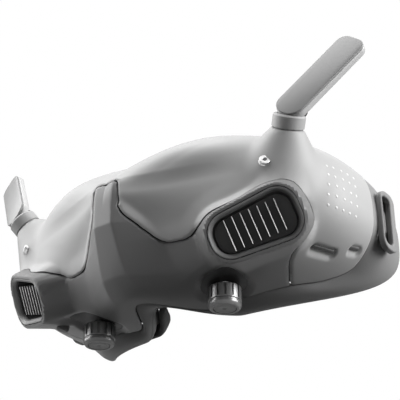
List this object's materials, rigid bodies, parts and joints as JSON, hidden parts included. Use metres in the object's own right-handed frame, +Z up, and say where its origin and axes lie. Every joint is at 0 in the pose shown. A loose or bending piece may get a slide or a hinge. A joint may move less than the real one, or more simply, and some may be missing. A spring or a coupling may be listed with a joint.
{
  "type": "fpv goggles",
  "caption": "Goggles with a video display for each eye, sliding focus eyepieces, folding paddle antennas, side vents and a soft face frame.",
  "frame": {"origin": "midway across and midway in depth, on the surface under the focus knobs", "axes": "+X towards the left side of the person wearing it, -Y is the front, +Z up"},
  "size_m": [0.1972, 0.0976, 0.0995],
  "materials": {
    "light_shell": "satin grey",
    "dark_shell": "satin dark grey",
    "frame_grey": "soft matt",
    "foam": "soft foam with fabric face",
    "black_plastic": "matt",
    "bright_metal": "brushed",
    "knob_grey": "satin",
    "glass": "clear",
    "board": "solder mask"
  },
  "bodies": {
    "goggles": {"upper_shell": "light_shell", "strap_lug_left": "light_shell", "strap_lug_right": "light_shell", "antenna_bracket_left": "light_shell", "antenna_bracket_right": "light_shell", "front_cover": "dark_shell", "face_frame": "frame_grey", "face_foam": "foam", "vent_duct_left": "black_plastic", "vent_duct_right": "black_plastic", "chassis": "black_plastic", "fan_housing": "black_plastic", "proximity_sensor": "black_plastic", "card_reader": "black_plastic", "heat_sink_left": "bright_metal", "heat_sink_right": "bright_metal", "antenna_pin_left": "bright_metal", "antenna_pin_right": "bright_metal", "shell_stud_left": "bright_metal", "shell_stud_right": "bright_metal", "lower_guide_rod": "bright_metal", "upper_guide_rod": "bright_metal", "chassis_screw_1": "bright_metal", "chassis_screw_2": "bright_metal", "chassis_screw_3": "bright_metal", "chassis_screw_4": "bright_metal", "usb_socket": "bright_metal", "main_board": "board"},
    "antenna_left": {"antenna_paddle_left": "light_shell", "antenna_cap_left": "dark_shell"},
    "eyepiece_left": {"eyepiece_carriage_left": "black_plastic", "display_left": "black_plastic"},
    "barrel_left": {"lens_cell_left": "black_plastic", "lens_left": "glass"},
    "focus_sleeve_left": {"focus_sleeve_left": "bright_metal"},
    "knob_left": {"focus_knob_left": "knob_grey", "knob_cap_left": "black_plastic", "focus_shaft_left": "bright_metal"},
    "antenna_right": {"antenna_paddle_right": "light_shell", "antenna_cap_right": "dark_shell"},
    "eyepiece_right": {"eyepiece_carriage_right": "black_plastic", "display_right": "black_plastic"},
    "barrel_right": {"lens_cell_right": "black_plastic", "lens_right": "glass"},
    "focus_sleeve_right": {"focus_sleeve_right": "bright_metal"},
    "knob_right": {"focus_knob_right": "knob_grey", "knob_cap_right": "black_plastic", "focus_shaft_right": "bright_metal"},
    "fan": {"fan_rotor": "black_plastic"},
    "link_key": {"link_button": "frame_grey"}
  },
  "joints": [
    {"name": "antenna_left_fold", "type": "hinge", "parent": "goggles", "child": "antenna_left", "pos_m": [0.0749, -0.0265, 0.0695], "axis": [0.3039, -0.9236, 0.2339], "range_deg": [0, 120]},
    {"name": "eye_left_slide", "type": "slide", "parent": "goggles", "child": "eyepiece_left", "axis": [1, 0, 0], "range_m": [-0.004, 0.004]},
    {"name": "focus_left_turn", "type": "hinge", "parent": "eyepiece_left", "child": "focus_sleeve_left", "pos_m": [0.032, -0.0125, 0.0165], "axis": [0, 0, 1], "range_deg": [-150, 150]},
    {"name": "focus_left_travel", "type": "slide", "parent": "eyepiece_left", "child": "barrel_left", "axis": [0, 1, 0], "range_m": [-0.0026, 0.0026]},
    {"name": "knob_left_push", "type": "slide", "parent": "focus_sleeve_left", "child": "knob_left", "axis": [0, 0, 1], "range_m": [0, 0.004]},
    {"name": "antenna_right_fold", "type": "hinge", "parent": "goggles", "child": "antenna_right", "pos_m": [-0.0749, -0.0265, 0.0695], "axis": [0.3039, 0.9236, -0.2339], "range_deg": [0, 120]},
    {"name": "eye_right_slide", "type": "slide", "parent": "goggles", "child": "eyepiece_right", "axis": [-1, 0, 0], "range_m": [-0.004, 0.004]},
    {"name": "focus_right_turn", "type": "hinge", "parent": "eyepiece_right", "child": "focus_sleeve_right", "pos_m": [-0.032, -0.0125, 0.0165], "axis": [0, 0, 1], "range_deg": [-150, 150]},
    {"name": "focus_right_travel", "type": "slide", "parent": "eyepiece_right", "child": "barrel_right", "axis": [0, 1, 0], "range_m": [-0.0026, 0.0026]},
    {"name": "knob_right_push", "type": "slide", "parent": "focus_sleeve_right", "child": "knob_right", "axis": [0, 0, 1], "range_m": [0, 0.004]},
    {"name": "fan_spin", "type": "hinge", "parent": "goggles", "child": "fan", "pos_m": [0, -0.0297, 0.038], "axis": [0, 1, 0], "continuous": true},
    {"name": "link_key_press", "type": "slide", "parent": "goggles", "child": "link_key", "axis": [0.2507, 0.1003, 0.9628], "range_m": [0, 0.001], "stiffness_N_per_m": 400}
  ],
  "couplings": [
    {"joint": "focus_left_turn", "follows": "focus_left_travel", "rad_per_m": 1000},
    {"joint": "focus_right_turn", "follows": "focus_right_travel", "rad_per_m": 1000}
  ]
}
